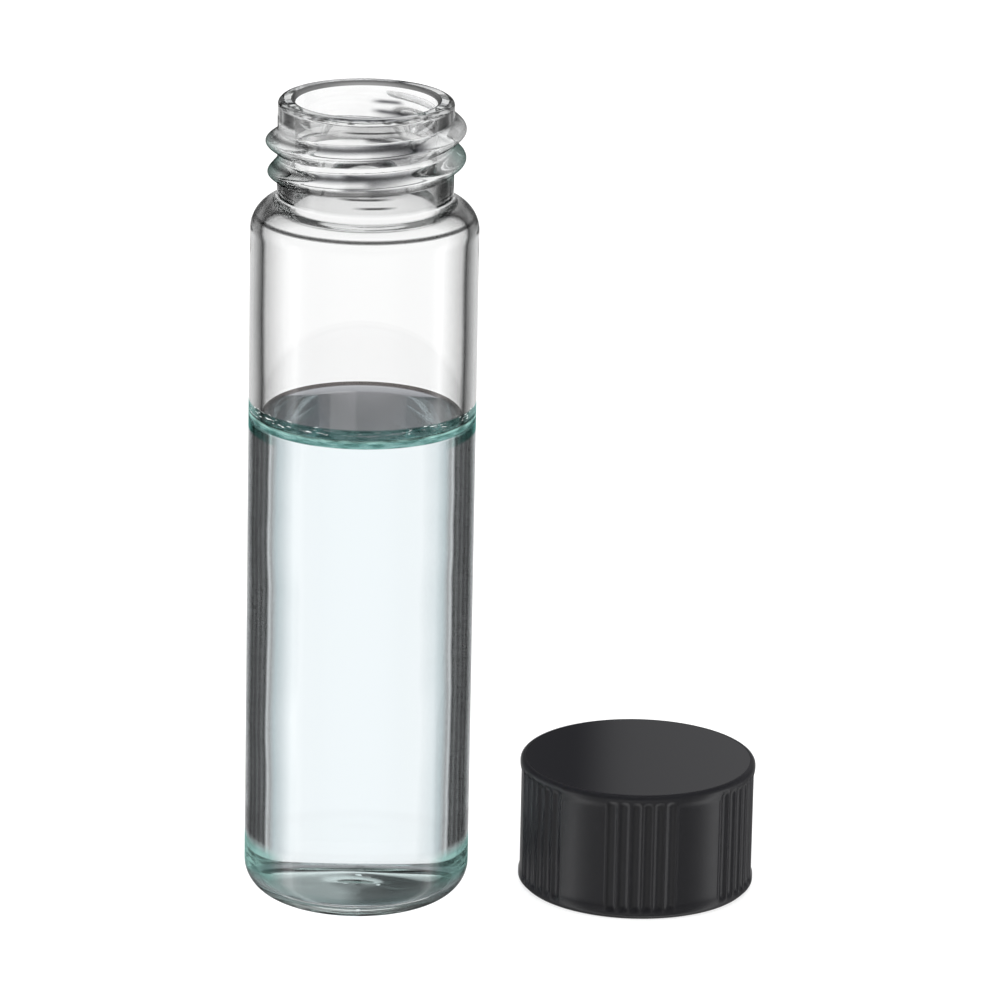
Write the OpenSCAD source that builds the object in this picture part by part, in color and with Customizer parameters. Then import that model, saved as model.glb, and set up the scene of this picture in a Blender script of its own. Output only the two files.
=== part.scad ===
// Screw-thread glass sample vial, part filled, with its cap off and standing beside it.
// Millimetres, +Z up. The origin is the centre of the vial's base, on the surface it stands on.

/* [Vial body] */
// Outside diameter of the glass body
body_d = 16.5; // [15:0.1:20]
// Height from the surface to the top of the lip
vial_h = 60; // [50:0.5:80]
// Wall thickness of the body
body_wall = 0.85; // [0.6:0.05:1.2]
// Outside radius of the shoulder
shoulder_r = 2.3; // [1.8:0.1:3]
// Outside radius of the corner round the base
base_corner_r = 2.3; // [1.5:0.1:3]
// Inside radius of the corner round the floor
floor_corner_r = 1.4; // [0.8:0.1:2]
// Thickness of the glass in the base
base_t = 1.1; // [0.8:0.1:2]
// Height of the push-up under the middle of the base
push_up = 0.5; // [0.2:0.05:0.8]
// Width of the flat ring that the vial stands on
foot_w = 0.8; // [0.4:0.1:1.5]

/* [Neck] */
// Outside diameter of the neck between the threads
neck_d = 12.7; // [12.3:0.05:13.4]
// Bore through the mouth and neck
bore_d = 10.2; // [9:0.1:10.8]
// Height of the straight neck, from its foot to the top of the lip
neck_h = 7; // [6.5:0.1:9]
// Radius in the angle between neck and shoulder, outside
neck_fillet_r = 0.5; // [0.3:0.05:0.8]
// Radius where the bore opens into the body, inside
bore_flare_r = 1; // [0.6:0.1:1.5]
// Rounding of the lip's outer edge
lip_outer_r = 0.45; // [0.2:0.05:0.5]
// Rounding of the lip's inner edge
lip_inner_r = 0.3; // [0.15:0.05:0.4]

/* [Thread] */
// Rise of the thread in one turn, 12 turns to the inch
thread_pitch = 2.117; // [1.9:0.001:2.3]
// How far the glass thread stands out of the neck
thread_h = 0.85; // [0.6:0.05:1]
// Width of the glass thread at its foot
thread_w = 1.5; // [1.1:0.05:1.6]
// Number of turns on the neck
thread_turns = 1.9; // [1.5:0.1:2.2]
// From the top of the lip to the middle of the thread where it starts
thread_drop = 1.55; // [1.2:0.05:1.8]
// Angle over which the thread rises out of the neck at its upper end
thread_run_in = 30; // [15:5:60]
// Angle over which the thread dies away at its lower end
thread_run_out = 80; // [30:5:100]

/* [Liquid] */
// Height of the liquid's flat surface above the surface the vial stands on
fill_z = 36.4; // [8:0.1:38]
// How far the liquid climbs the wall
meniscus_h = 0.4; // [0.2:0.05:1.4]
// How far in from the wall the climb begins
meniscus_w = 1.4; // [0.8:0.1:2.2]

/* [Cap] */
// Thickness of the cap's skirt, from the thread's root to the top of the ribs
cap_wall = 1.3; // [1.1:0.05:1.8]
// Thickness of the cap's top
cap_top = 1.3; // [1:0.1:2]
// How far the skirt reaches past the foot of the neck when screwed down
cap_reach = 0.3; // [0.1:0.05:0.6]
// Radial gap between the cap's thread and the glass
thread_gap = 0.2; // [0.15:0.05:0.3]
// Width of the cap's thread at its root
cap_thread_w = 1; // [0.8:0.05:1.1]
// Width of the cap's thread at its crest
cap_crest_w = 0.6; // [0.4:0.05:0.7]
// Number of turns in the cap
cap_turns = 2; // [1.5:0.25:2]
// Angle over which the cap's thread rises out of its bore at each end
cap_run = 30; // [15:5:60]
// Height of the plain lead-in at the cap's mouth
lead_in_h = 1.2; // [0.8:0.1:1.5]
// How much wider in radius the lead-in is than the thread's root
lead_in_step = 0.3; // [0.2:0.05:0.5]
// Number of groups of grip ribs round the cap
rib_groups = 6; // [4:1:6]
// Grooves cut in each group
grooves_per_group = 6; // [4:1:6]
// Angle from one groove to the next
groove_step = 5.8; // [5:0.1:6.2]
// Depth of each groove
groove_depth = 0.23; // [0.15:0.01:0.3]
// Radius of each groove's rounded section
groove_r = 0.5; // [0.4:0.05:0.6]
// Angle that each smooth panel between the groups spans
panel_angle = 25; // [15:1:26]
// How far the smooth panels lie below the ribs
panel_depth = 0.1; // [0.05:0.01:0.2]
// Height over which a panel slopes out to the bands above and below it
panel_slope_h = 0.4; // [0.2:0.05:0.8]
// Height of the plain band round the cap's top edge
top_band_h = 0.6; // [0.4:0.05:1]
// Height of the plain band round the cap's mouth
foot_band_h = 0.7; // [0.4:0.05:1]
// Rounding of the cap's top edge
cap_edge_r = 0.35; // [0.2:0.05:0.4]
// Chamfer round the cap's mouth
cap_chamfer = 0.3; // [0.15:0.05:0.35]

/* [Liner] */
// Thickness of the sealing disc in the cap
liner_t = 1; // [0.5:0.1:1.5]
// Radial gap between the disc and the cap's bore
liner_gap = 0.1; // [0.05:0.01:0.2]

/* [Placing] */
// Gap between the standing vial and its cap
cap_gap = 3.9; // [1:0.1:20]
// Direction of the cap from the vial, turned from +X towards +Y
cap_bearing = 6; // [-90:0.1:90]
// Turn of the middle rib group away from -Y, towards +X
rib_turn = 0.5; // [0:0.5:60]

/* [Hidden] */

$fn = 128;
// Straight pieces that each rounded part of an outline is drawn with
ARC_STEPS = 8;
// Sections of a thread in one turn, and points across each section's crest
THREAD_STEPS = 48;
CREST_STEPS = 8;
// How deep a thread's foot is sunk into the wall that carries it
ROOT_SINK = 0.2;
// Share of its height that a thread still has at its very end, inside the wall
LOW_END = 0.1;
// Extra length of a cutting tool past the face it cuts
CUT = 1;

body_r = body_d / 2;
inner_r = body_r - body_wall;
neck_r = neck_d / 2;
bore_r = bore_d / 2;
lip_wall = neck_r - bore_r;
lip_out = min(lip_outer_r, lip_wall * 0.45);
lip_in = min(lip_inner_r, lip_wall * 0.45);

// Shoulder: one arc turns in from the body, another turns up into the neck.
shoulder_c = body_r - shoulder_r;
neck_foot_z = vial_h - neck_h;
out_reach = shoulder_r + neck_fillet_r;
out_dr = neck_r + neck_fillet_r - shoulder_c;
out_turn = out_dr > 0 ? acos(out_dr / out_reach) : 90;
shoulder_z = neck_foot_z - out_reach * sin(out_turn);
in_arc = shoulder_r - body_wall;
in_reach = in_arc + bore_flare_r;
in_dr = bore_r + bore_flare_r - shoulder_c;
in_turn = in_dr > 0 ? acos(in_dr / in_reach) : 90;
flare_z = shoulder_z + in_reach * sin(in_turn);

// Base
foot_out = body_r - base_corner_r;
foot_in = foot_out - foot_w;
floor_out = inner_r - floor_corner_r;

// Cap, worked out from the neck that it screws on to
cap_root_r = neck_r + thread_h + thread_gap;
cap_crest_r = neck_r + thread_gap;
cap_r = cap_root_r + cap_wall;
lead_in_r = cap_root_r + lead_in_step;
liner_z = neck_h + cap_reach;
cap_h = liner_z + liner_t + cap_top;
cap_thread_top = lead_in_h + cap_thread_w + thread_pitch * cap_turns;
cap_away = body_r + cap_gap + cap_r;
cap_x = cap_away * cos(cap_bearing);
cap_y = cap_away * sin(cap_bearing);

// Points of an arc in the (radius, height) plane, from angle a0 to angle a1
function arc(c, r, a0, a1) =
    [for (i = [0 : ARC_STEPS]) let (a = a0 + (a1 - a0) * i / ARC_STEPS) c + r * [cos(a), sin(a)]];

// Points of a shallow dome from radius r at height z to the axis, h higher
function dome(r, z, h) =
    let (big = (r * r + h * h) / (2 * h), half = asin(r / big))
    [for (i = [0 : ARC_STEPS]) let (a = half * (1 - i / ARC_STEPS))
        [big * sin(a), z + h - big * (1 - cos(a))]];

function reversed(points) = [for (i = [len(points) - 1 : -1 : 0]) points[i]];

// Half section of the cavity's lower end, from the axis along the floor and round its corner
cavity_foot = concat(
    reversed(dome(floor_out, base_t, push_up)),
    arc([floor_out, base_t + floor_corner_r], floor_corner_r, -85, 0));

// Outside of the glass, from the middle of the base to the top of the lip
glass_outside = concat(
    reversed(dome(foot_in, 0, push_up)),
    arc([foot_out, base_corner_r], base_corner_r, -90, 0),
    arc([shoulder_c, shoulder_z], shoulder_r, 0, out_turn),
    arc([neck_r + neck_fillet_r, neck_foot_z], neck_fillet_r, 180 + out_turn, 180),
    arc([neck_r - lip_out, vial_h - lip_out], lip_out, 0, 90));

// Inside of the glass, from the top of the lip to the head of the body's straight wall
glass_inside = concat(
    arc([bore_r + lip_in, vial_h - lip_in], lip_in, 90, 180),
    arc([bore_r + bore_flare_r, flare_z], bore_flare_r, 180, 180 + in_turn),
    arc([shoulder_c, shoulder_z], in_arc, in_turn, 0));

// The liquid's surface, from where it meets the wall in to the axis
meniscus = concat(
    [for (i = [ARC_STEPS : -1 : 0]) let (a = 90 * i / ARC_STEPS)
        [inner_r - meniscus_w * (1 - sin(a)), fill_z + meniscus_h * (1 - cos(a))]],
    [[0, fill_z]]);

// Sections of a thread as [how far it stands out, height], from the upper foot to the lower.
// Both feet are sunk into the wall, so that the flanks meet the wall at a clear angle.
glass_thread = [for (i = [0 : CREST_STEPS]) let (a = 90 - 180 * i / CREST_STEPS)
    [(thread_h + ROOT_SINK) * cos(a) - ROOT_SINK, thread_w / 2 * sin(a)]];
cap_thread = [
    [-ROOT_SINK, cap_thread_w / 2],
    [cap_root_r - cap_crest_r, cap_crest_w / 2],
    [cap_root_r - cap_crest_r, -cap_crest_w / 2],
    [-ROOT_SINK, -cap_thread_w / 2]];

// How much of its height a thread has, from LOW_END at its end to 1 after the angle run
function lift(t, run) = t < run ? LOW_END + (1 - LOW_END) * (1 - cos(180 * t / run)) / 2 : 1;

// A thread section carried round the axis as a right-handed helix, whose upper end is at
// height z_top and angle end. wall_r is the wall it stands on, way is 1 where it stands
// outwards and -1 inwards, and it dies away into the wall over run_low and run_high.
module thread(wall_r, way, section, turns, z_top, end, run_low, run_high) {
    all = 360 * turns;
    n = round(THREAD_STEPS * turns);
    m = len(section);
    points = [for (i = [0 : n])
        let (t = all * i / n,
             up = min(lift(t, run_low), lift(all - t, run_high)),
             z = z_top - thread_pitch * turns * (1 - i / n))
        for (p = section)
            let (r = wall_r + way * ((p[0] + ROOT_SINK) * up - ROOT_SINK))
            [r * cos(end - all + t), r * sin(end - all + t), z + p[1]]];
    sides = [for (i = [0 : n - 1], k = [0 : m - 1])
        let (a = i * m + k, b = i * m + (k + 1) % m)
        each [[a, a + m, b + m], [a, b + m, b]]];
    ends = [[for (k = [0 : m - 1]) k], [for (k = [m - 1 : -1 : 0]) n * m + k]];
    faces = concat(sides, ends);
    polyhedron(points, way > 0 ? faces : [for (f = faces) reversed(f)]);
}

module vial() {
    color([0.85, 0.93, 0.92, 0.4]) {
        rotate_extrude()
            polygon(concat(glass_outside, glass_inside, reversed(cavity_foot)));
        thread(neck_r, 1, glass_thread, thread_turns, vial_h - thread_drop, 90,
            thread_run_out, thread_run_in);
    }
}

module liquid() {
    color([0.84, 0.93, 0.96, 0.6])
        rotate_extrude()
            polygon(concat(cavity_foot, meniscus));
}

// The cap's outside: a plain turned form with a rounded top edge and a chamfered mouth
module cap_blank() {
    rotate_extrude()
        polygon(concat(
            [[0, 0], [cap_r - cap_chamfer, 0], [cap_r, cap_chamfer]],
            arc([cap_r - cap_edge_r, cap_h - cap_edge_r], cap_edge_r, 0, 90),
            [[0, cap_h]]));
}

// One grip groove, a rounded channel between the two plain bands
module groove() {
    translate([cap_r + groove_r - groove_depth, 0, foot_band_h])
        cylinder(r = groove_r, h = cap_h - top_band_h - foot_band_h);
}

// One smooth panel, cut below the ribs. Its ends slope out and cross the cap's surface at
// the edges of the bands above and below it.
module panel_cut() {
    low = foot_band_h;
    high = cap_h - top_band_h;
    rotate(-panel_angle / 2)
        rotate_extrude(angle = panel_angle)
            polygon([
                [cap_r - panel_depth, low + panel_slope_h],
                [cap_r + panel_depth, low - panel_slope_h],
                [cap_r + panel_depth, high + panel_slope_h],
                [cap_r - panel_depth, high - panel_slope_h]]);
}

module grip() {
    group_step = 360 / rib_groups;
    for (g = [0 : rib_groups - 1])
        rotate(g * group_step) {
            for (i = [0 : grooves_per_group - 1])
                rotate((i - (grooves_per_group - 1) / 2) * groove_step) groove();
            rotate(group_step / 2) panel_cut();
        }
}

module cap() {
    color([0.15, 0.15, 0.16])
        translate([cap_x, cap_y, 0]) {
            difference() {
                cap_blank();
                translate([0, 0, -CUT]) cylinder(r = cap_root_r, h = liner_z + liner_t + CUT);
                translate([0, 0, -CUT]) cylinder(r = lead_in_r, h = lead_in_h + CUT);
                rotate(rib_turn - 90) grip();
            }
            thread(cap_root_r, -1, cap_thread, cap_turns, cap_thread_top, 0, cap_run, cap_run);
        }
}

module cap_liner() {
    color([0.93, 0.92, 0.88])
        translate([cap_x, cap_y, liner_z])
            cylinder(r = cap_root_r - liner_gap, h = liner_t);
}

vial();
liquid();
cap();
cap_liner();
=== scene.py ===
"""Glass sample vial with a screw neck, part filled, and its black cap standing beside it.

Sizes are in millimetres and are turned to metres where a mesh is made. The frame's origin is
the centre of the vial's foot, on the surface that the vial and the cap stand on.
"""
import math

import bpy
import numpy as np
from mathutils import Matrix, Vector


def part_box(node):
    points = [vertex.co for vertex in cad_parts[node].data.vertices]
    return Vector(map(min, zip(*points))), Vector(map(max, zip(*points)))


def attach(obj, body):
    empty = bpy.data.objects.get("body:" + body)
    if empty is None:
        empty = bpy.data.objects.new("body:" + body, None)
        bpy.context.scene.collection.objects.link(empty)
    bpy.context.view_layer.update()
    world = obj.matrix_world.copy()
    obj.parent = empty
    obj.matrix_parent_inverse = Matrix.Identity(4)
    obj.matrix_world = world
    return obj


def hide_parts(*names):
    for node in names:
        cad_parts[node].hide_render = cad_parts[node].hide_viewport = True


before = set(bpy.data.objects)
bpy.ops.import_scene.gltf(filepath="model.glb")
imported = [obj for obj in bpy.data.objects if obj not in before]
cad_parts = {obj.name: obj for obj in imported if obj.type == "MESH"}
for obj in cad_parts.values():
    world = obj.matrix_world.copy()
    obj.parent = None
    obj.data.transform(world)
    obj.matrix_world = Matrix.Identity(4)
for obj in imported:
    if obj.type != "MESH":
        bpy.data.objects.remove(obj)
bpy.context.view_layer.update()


# ------------------------------------------------------------------ the studio
# A white table that runs out to a white horizon, under a grey ceiling. Two upright soft
# boxes stand left and right of the table, and a large one hangs over it.

MM = 0.001
BACKDROP = "#FFFFFF"
# A long lens, a little above the objects, which is turned a degree about its own axis.
EYE, AIM = (0.0, -491.8, 186.7), (10.1, 0.0, 30.07)
LENS, ROLL = 255.5, math.radians(1.154)


def linear(colour):
    """An sRGB hex colour as linear RGBA: each part to the power 2.4, with sRGB's straight foot."""
    parts = [int(colour[i:i + 2], 16) / 255 for i in (1, 3, 5)]
    return [p / 12.92 if p <= 0.04045 else ((p + 0.055) / 1.055) ** 2.4 for p in parts] + [1.0]


def add_node(tree, kind, links=(), **settings):
    """One node with its settings, and links as {input: socket or value}."""
    node = tree.nodes.new(kind)
    for name, value in settings.items():
        setattr(node, name, value)
    for name, value in dict(links).items():
        if isinstance(value, bpy.types.NodeSocket):
            tree.links.new(value, node.inputs[name])
        else:
            node.inputs[name].default_value = value
    return node


def set_ramp(node, stops, easing="EASE"):
    """Gives a Color Ramp its stops, each as (position, linear RGBA)."""
    ramp = node.color_ramp
    ramp.interpolation = easing
    while len(ramp.elements) < len(stops):
        ramp.elements.new(1.0)
    for element, (position, colour) in zip(ramp.elements, stops):
        element.position = position
        element.color = colour


def grey(level):
    """A linear grey as RGBA."""
    return (level, level, level, 1.0)


def new_tree(owner):
    """The emptied node tree of a material or a world."""
    owner.use_nodes = True
    owner.node_tree.nodes.clear()
    return owner.node_tree


def all_of(tree, first, *others):
    """A factor that is 1 only where every one of these is: their product."""
    for other in others:
        first = add_node(tree, "ShaderNodeMath", {0: first, 1: other},
                         operation="MULTIPLY").outputs[0]
    return first


def any_of(tree, first, *others):
    """A factor that is 1 where any one of these is: the largest of them."""
    for other in others:
        first = add_node(tree, "ShaderNodeMath", {0: first, 1: other},
                         operation="MAXIMUM").outputs[0]
    return first


def between(tree, value, start, full, last, stop):
    """A factor that is 1 while value lies between full and last, and 0 outside start and stop."""
    rises = add_node(tree, "ShaderNodeMapRange", {"Value": value, "From Min": start,
                                                  "From Max": full})
    falls = add_node(tree, "ShaderNodeMapRange", {"Value": value, "From Min": stop,
                                                  "From Max": last})
    return all_of(tree, rises.outputs[0], falls.outputs[0])


scene = bpy.context.scene
scene.view_settings.view_transform = "Standard"
scene.cycles.max_bounces = 32
scene.cycles.transmission_bounces = 28
scene.cycles.glossy_bounces = 16
scene.cycles.transparent_max_bounces = 24

eye = bpy.data.objects.new("camera", bpy.data.cameras.new("camera"))
scene.collection.objects.link(eye)
eye.data.lens = LENS
eye.data.clip_start, eye.data.clip_end = 0.05, 20.0
look = Vector(AIM) - Vector(EYE)
facing = look.to_track_quat("-Z", "Y").to_matrix().to_4x4() @ Matrix.Rotation(ROLL, 4, "Z")
eye.matrix_world = Matrix.Translation(Vector(EYE) * MM) @ facing
scene.camera = eye

# The studio has four looks, told apart by the kind of ray. What is seen past the object is plain
# white. The fill that falls on matt faces is even. Glass sees white from the table up to just over
# the horizon, and then a ceiling that is dark on the left and grey on the right. The two lists of
# stops give these, from straight down, 0, to straight up, 1. Gloss sees panels, further down.
world = bpy.data.worlds.new("studio")
scene.world = world
tree = new_tree(world)
path = add_node(tree, "ShaderNodeLightPath").outputs
way = add_node(tree, "ShaderNodeSeparateXYZ",
               {0: add_node(tree, "ShaderNodeTexCoord").outputs["Generated"]}).outputs
upward = add_node(tree, "ShaderNodeMapRange", {"Value": way["Z"], "From Min": -1.0,
                                               "From Max": 1.0})
across = add_node(tree, "ShaderNodeMapRange", {"Value": way["X"], "From Min": -0.03,
                                               "From Max": 0.05})
rises = []
for stops in ([(0.0, 1.0), (0.55, 1.0), (0.60, 0.45), (0.64, 0.05), (0.70, 0.06), (1.0, 0.10)],
              [(0.0, 1.0), (0.55, 1.0), (0.60, 0.75), (0.64, 0.44), (0.70, 0.38), (0.86, 0.36),
               (0.95, 0.24), (1.0, 0.10)]):
    rise = add_node(tree, "ShaderNodeValToRGB", {0: upward.outputs[0]})
    set_ramp(rise, [(at, grey(light)) for at, light in stops], "LINEAR")
    rises.append(rise.outputs[0])
room = add_node(tree, "ShaderNodeMix", {"Factor": across.outputs[0], 6: rises[0], 7: rises[1]},
                data_type="RGBA")
# A white window stands in the ceiling's dark side, and the side that the glass throws light back
# from, over the front of the table, is pale.
window = all_of(tree, between(tree, way["X"], -0.03, -0.027, -0.0065, -0.0035),
                between(tree, way["Z"], 0.28, 0.31, 0.41, 0.44))
room = add_node(tree, "ShaderNodeMix", {"Factor": window, 6: room.outputs[2], 7: grey(0.95)},
                data_type="RGBA")
nearer = add_node(tree, "ShaderNodeMapRange", {"Value": way["Y"], "From Min": 0.05,
                                               "From Max": -0.15})
room = add_node(tree, "ShaderNodeMix", {"Factor": nearer.outputs[0], 6: room.outputs[2],
                                        7: grey(0.85)}, data_type="RGBA")
seen_in_glass = add_node(tree, "ShaderNodeBackground", {"Color": room.outputs[2]})
# A glossy face sees white panels to the left and the right, a dim stretch between them in front,
# and a dark back. The first two lists are its left and its right, from the front, 0, to the back,
# 1, and the third list is what it sees above the table's edge.
behind = add_node(tree, "ShaderNodeMapRange", {"Value": way["Y"], "From Min": -1.0,
                                               "From Max": 1.0})
tones_round = []
for stops in ([(0.02, 0.62), (0.07, 0.50), (0.14, 0.24), (0.24, 0.30), (0.31, 1.0), (0.35, 2.4),
               (0.39, 1.6), (0.46, 0.3), (0.55, 0.3), (0.65, 0.22), (0.90, 0.12), (0.95, 0.5),
               (0.98, 0.9)],
              [(0.02, 0.62), (0.07, 0.50), (0.14, 0.16), (0.26, 0.18), (0.34, 0.35), (0.395, 1.3),
               (0.44, 2.4), (0.49, 1.2), (0.58, 0.5), (0.72, 0.3), (0.90, 0.12), (0.95, 0.5),
               (0.98, 0.9)],
              [(0.0, 0.05), (0.6, 0.05), (0.85, 0.05), (0.94, 0.07), (1.0, 0.08)]):
    round_it = add_node(tree, "ShaderNodeValToRGB", {0: behind.outputs[0]})
    set_ramp(round_it, [(at, grey(light)) for at, light in stops], "LINEAR")
    tones_round.append(round_it.outputs[0])
to_right = add_node(tree, "ShaderNodeMapRange", {"Value": way["X"], "From Min": -0.05,
                                                 "From Max": 0.05})
around = add_node(tree, "ShaderNodeMix", {"Factor": to_right.outputs[0], 6: tones_round[0],
                                          7: tones_round[1]}, data_type="RGBA")
raised = add_node(tree, "ShaderNodeMapRange", {"Value": way["Z"], "From Min": -0.1,
                                               "From Max": 0.15})
sheen = add_node(tree, "ShaderNodeMix", {"Factor": raised.outputs[0], 6: around.outputs[2],
                                         7: tones_round[2]}, data_type="RGBA")
# A dim panel stands over the far edge of the table, with a darker gap to the left of it.
panel_x = add_node(tree, "ShaderNodeMapRange", {"Value": way["X"], "From Min": 0.02,
                                                "From Max": 0.055})
panel = add_node(tree, "ShaderNodeValToRGB", {0: panel_x.outputs[0]})
set_ramp(panel, [(0.0, grey(0.07)), (0.31, grey(0.045)), (0.36, grey(0.09)), (0.46, grey(0.23)),
                 (0.54, grey(0.27)), (1.0, grey(0.32))], "LINEAR")
on_panel = between(tree, way["Z"], 0.26, 0.29, 0.44, 0.47)
sheen = add_node(tree, "ShaderNodeMix", {"Factor": on_panel, 6: sheen.outputs[2],
                                         7: panel.outputs[0]}, data_type="RGBA")
seen_in_gloss = add_node(tree, "ShaderNodeBackground", {"Color": sheen.outputs[2]})
fill = add_node(tree, "ShaderNodeBackground", {"Color": grey(1.0), "Strength": 0.55})
plain = add_node(tree, "ShaderNodeBackground", {"Color": linear(BACKDROP)})
shown = add_node(tree, "ShaderNodeMixShader",
                 {0: path["Is Glossy Ray"], 1: fill.outputs[0], 2: seen_in_gloss.outputs[0]})
shown = add_node(tree, "ShaderNodeMixShader", {0: path["Is Transmission Ray"], 1: shown.outputs[0],
                                               2: seen_in_glass.outputs[0]})
whole = add_node(tree, "ShaderNodeMixShader",
                 {0: path["Is Camera Ray"], 1: shown.outputs[0], 2: plain.outputs[0]})
add_node(tree, "ShaderNodeOutputWorld", {"Surface": whole.outputs[0]})

# The table: a sheet of white acrylic, which gives off a little of its white so that it meets
# the backdrop without a line. Through glass it shows a painted tone: white at a slant and far off,
# and greyer straight down beside the vial, where a ring of painted shade lies round its foot, with
# painted light inside the ring.
TABLE, TABLE_BELOW = "#F2F2F2", "#A9AAAF"
TABLE_HALF, SHADE_R = 3000.0, 32.0
CLEAR_OF_SHADE, FAR_OFF = 36.0, 70.0
table_mesh = bpy.data.meshes.new("table")
table_mesh.from_pydata([(x * TABLE_HALF * MM, y * TABLE_HALF * MM, 0.0)
                        for x, y in ((-1, -1), (1, -1), (1, 1), (-1, 1))], [], [(0, 1, 2, 3)])
table = bpy.data.objects.new("table", table_mesh)
scene.collection.objects.link(table)

white_table = bpy.data.materials.new("matt white acrylic table")
tree = new_tree(white_table)
path = add_node(tree, "ShaderNodeLightPath").outputs
slant = add_node(tree, "ShaderNodeLayerWeight", {"Blend": 0.5}).outputs["Facing"]
shallow = add_node(tree, "ShaderNodeValToRGB", {0: slant})
set_ramp(shallow, [(0.605, grey(0.0)), (0.655, grey(1.0))])
matt = add_node(tree, "ShaderNodeBsdfDiffuse", {"Color": grey(0.30)})
lift = add_node(tree, "ShaderNodeEmission", {"Color": grey(0.72)})
lit = add_node(tree, "ShaderNodeAddShader", {0: matt.outputs[0], 1: lift.outputs[0]})
spot = add_node(tree, "ShaderNodeTexCoord").outputs["Object"]
from_vial = add_node(tree, "ShaderNodeVectorMath", {0: spot}, operation="LENGTH").outputs["Value"]
reach = add_node(tree, "ShaderNodeMapRange", {"Value": from_vial, "From Min": 0.0,
                                              "From Max": SHADE_R * MM})
far = add_node(tree, "ShaderNodeMapRange", {"Value": from_vial, "From Min": CLEAR_OF_SHADE * MM,
                                            "From Max": FAR_OFF * MM})
# Painted shade round the vial's foot: a dark ring, lighter inside it.
shade = add_node(tree, "ShaderNodeValToRGB", {0: reach.outputs[0]})
set_ramp(shade, [(0.0, grey(0.60)), (0.38, grey(0.44)), (0.53, grey(0.32)), (0.61, grey(0.30)),
                 (0.65, grey(0.38)), (0.69, grey(0.52)), (0.75, grey(0.80)), (0.84, grey(0.96)),
                 (1.0, grey(1.0))], "LINEAR")
below = add_node(tree, "ShaderNodeMix", {"Factor": 1.0, 6: linear(TABLE_BELOW),
                                         7: shade.outputs[0]},
                 data_type="RGBA", blend_type="MULTIPLY")
pale = any_of(tree, shallow.outputs[0], far.outputs[0])
tone = add_node(tree, "ShaderNodeMix", {"Factor": pale, 6: below.outputs[2],
                                        7: grey(1.0)}, data_type="RGBA")
glow = add_node(tree, "ShaderNodeEmission", {"Color": tone.outputs[2]})
bounce = add_node(tree, "ShaderNodeBsdfDiffuse", {"Color": linear(TABLE)})
passed = add_node(tree, "ShaderNodeBsdfTransparent")
shown = add_node(tree, "ShaderNodeMixShader",
                 {0: path["Is Glossy Ray"], 1: bounce.outputs[0], 2: passed.outputs[0]})
shown = add_node(tree, "ShaderNodeMixShader",
                 {0: path["Is Transmission Ray"], 1: shown.outputs[0], 2: glow.outputs[0]})
whole = add_node(tree, "ShaderNodeMixShader",
                 {0: path["Is Camera Ray"], 1: shown.outputs[0], 2: lit.outputs[0]})
add_node(tree, "ShaderNodeOutputMaterial", {"Surface": whole.outputs[0]})
table_mesh.materials.append(white_table)


def soft_box(name, place, width, height, watts, aim):
    """A rectangular lamp at place that faces aim. It lights, but no ray meets it. All lengths
    are in millimetres."""
    lamp = bpy.data.lights.new(name, "AREA")
    lamp.shape = "RECTANGLE"
    lamp.size, lamp.size_y, lamp.energy = width * MM, height * MM, watts
    holder = bpy.data.objects.new(name, lamp)
    scene.collection.objects.link(holder)
    towards = Vector(aim) - Vector(place)
    holder.matrix_world = (Matrix.Translation(Vector(place) * MM)
                           @ towards.to_track_quat("-Z", "Y").to_matrix().to_4x4())
    holder.visible_camera = False
    holder.visible_transmission = False
    holder.visible_glossy = False


SIDE_AWAY, SIDE_TURN = 700.0, math.radians(72)
MIDDLE = (AIM[0], 0.0, 10.0)
for side, name in ((-1, "soft_box_left"), (1, "soft_box_right")):
    soft_box(name, (AIM[0] + side * SIDE_AWAY * math.sin(SIDE_TURN),
                    -SIDE_AWAY * math.cos(SIDE_TURN), 230.0), 200.0, 460.0, 4.0, MIDDLE)
soft_box("soft_box_top", (0.0, 100.0, 900.0), 700.0, 700.0, 9.0, MIDDLE)


# ------------------------------------------------------------------ the vial
# One piece of clear glass tube: its end is melted shut and pushed up so that it stands on a
# ring, and the other end is rolled in to a neck with a shoulder, a bead thread and a rounded lip.

BODY_R, VIAL_H, WALL = 8.25, 60.0, 0.85
SHOULDER_R, NECK_R, BORE_R, NECK_H = 2.3, 6.35, 5.1, 7.0
NECK_FILLET, BORE_FLARE, LIP_OUT, LIP_IN = 0.5, 1.0, 0.45, 0.3
CORNER_R, FLOOR_CORNER, BASE_T, PUSH_UP, FOOT_W = 2.3, 1.4, 1.1, 0.5, 0.8
INNER_R = BODY_R - WALL
WETTED_Z = 36.8
# The bead: how far it stands out, half its width, and how far its upper end lies below the rim.
PITCH, THREAD_OUT, THREAD_HALF, THREAD_TURNS, THREAD_DROP = 2.117, 0.85, 0.86, 1.9, 1.55
# The angle of its upper end, and those over which it rises there and dies away below, in degrees.
THREAD_END, RUN_IN, RUN_OUT = 90.0, 30.0, 80.0
# The melted base, all of it below DOME_BELOW: the height of its waves, their radians to the
# millimetre of radius, how much more of them there are towards BASE_SIDE, and a slight ripple.
BASE_WAVE, BASE_WAVES, BASE_SKEW, BASE_SIDE = 0.03, 1.7, 0.25, 0.6
BASE_RIPPLE, DOME_BELOW = 0.006, 5.0
# The vial's mesh: columns round it, and rows on the neck and on the part of the lip that shines.
COLUMNS, NECK_ROWS, LIP_ROWS = 256, 130, 8
TINY = 1e-6


def arc(centre, radius, start, stop, steps=14):
    """Points on a circle about centre, from angle start to angle stop in degrees."""
    a = np.radians(np.linspace(start, stop, steps + 1))
    return np.stack([centre[0] + radius * np.cos(a), centre[1] + radius * np.sin(a)], 1)


def line(start, stop, steps):
    """Points that divide the straight run between two points evenly, without its ends."""
    t = np.linspace(0, 1, steps + 1)[1:-1, None]
    return np.array(start) * (1 - t) + np.array(stop) * t


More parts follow.
